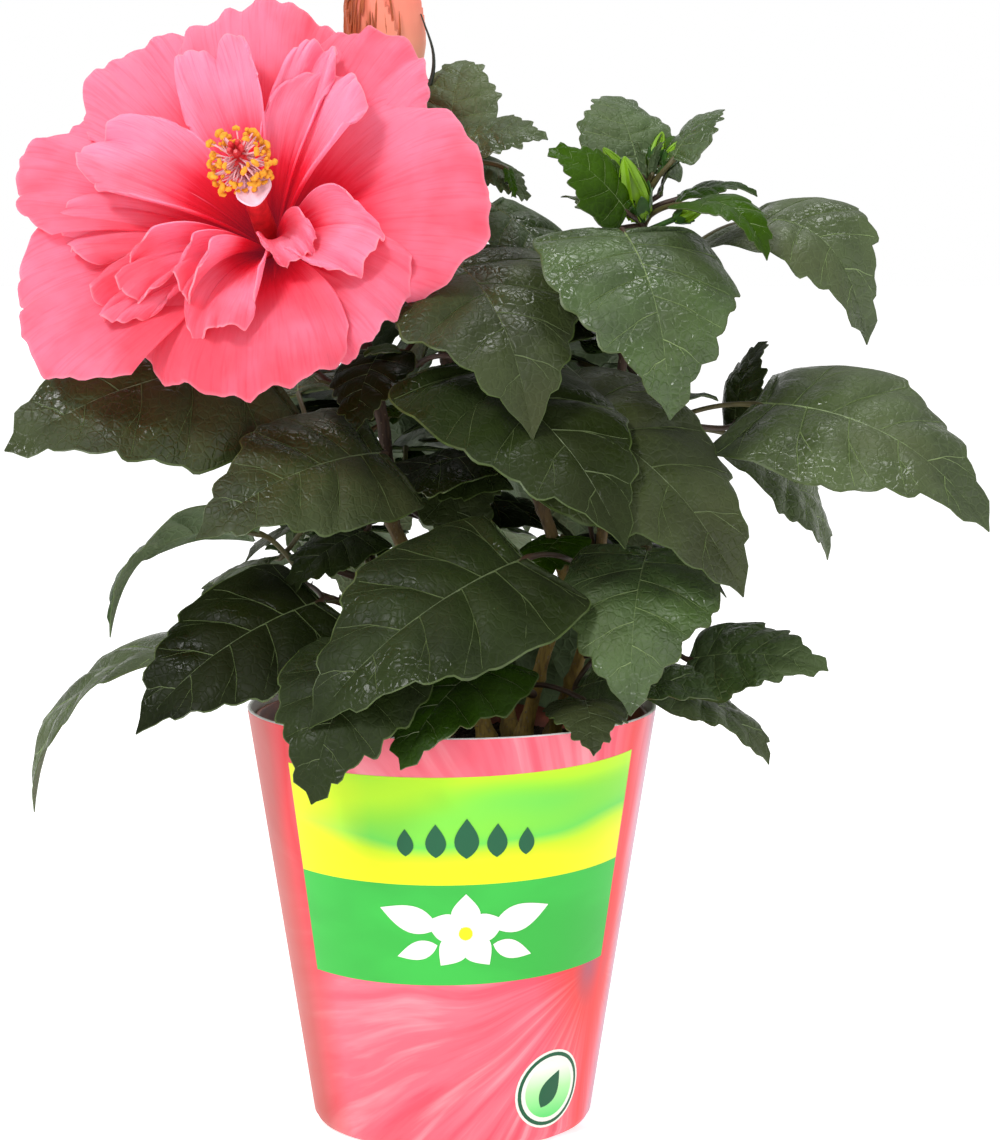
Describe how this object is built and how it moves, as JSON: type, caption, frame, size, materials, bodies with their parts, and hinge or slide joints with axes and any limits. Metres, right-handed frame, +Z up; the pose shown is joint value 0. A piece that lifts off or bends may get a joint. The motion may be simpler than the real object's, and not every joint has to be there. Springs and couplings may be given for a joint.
{
  "type": "potted hibiscus shrub",
  "caption": "Potted hibiscus shrub with thin stems, toothed glossy leaves, a large pink double bloom, a furled bloom and buds, in a tapered printed pot.",
  "frame": {"origin": "centre of the flat underside of the pot", "axes": "+Z up the plant, -Y towards the side the large bloom faces, +X to its right as seen from that side"},
  "size_m": [0.307, 0.2091, 0.3752],
  "materials": {
    "printed_sleeve": "satin, printed with pink petals and a green and yellow panel",
    "nursery_pot": "matt",
    "soil": "rough, crumbly",
    "bark": "fine bark",
    "petals": "soft, finely veined",
    "furled_petals": "soft, finely veined",
    "green_cup": "smooth, living green",
    "leaves": "glossy, quilted between the veins"
  },
  "bodies": {
    "root": {"back_high_leaves": "leaves", "back_left_leaves": "leaves", "back_low_leaves": "leaves", "back_right_leaves": "leaves", "back_stem": "bark", "behind_bloom_leaves": "leaves", "behind_crown_leaves": "leaves", "bloom_cup": "green_cup", "centre_leaves": "leaves", "cross_leaves": "leaves", "crown_leaves": "leaves", "front_leaves": "leaves", "furled_bloom": "furled_petals", "furled_cup": "green_cup", "large_bloom": "petals", "left_back_leaves": "leaves", "left_high_leaves": "leaves", "left_low_leaves": "leaves", "left_mid_leaves": "leaves", "left_stem": "bark", "low_front_leaves": "leaves", "mid_stem": "bark", "nursery_pot": "nursery_pot", "right_high_leaves": "leaves", "right_low_leaves": "leaves", "right_mid_leaves": "leaves", "right_stem": "bark", "sleeve": "printed_sleeve", "soil": "soil", "top_left_leaves": "leaves", "upper_centre_leaves": "leaves"}
  },
  "joints": []
}
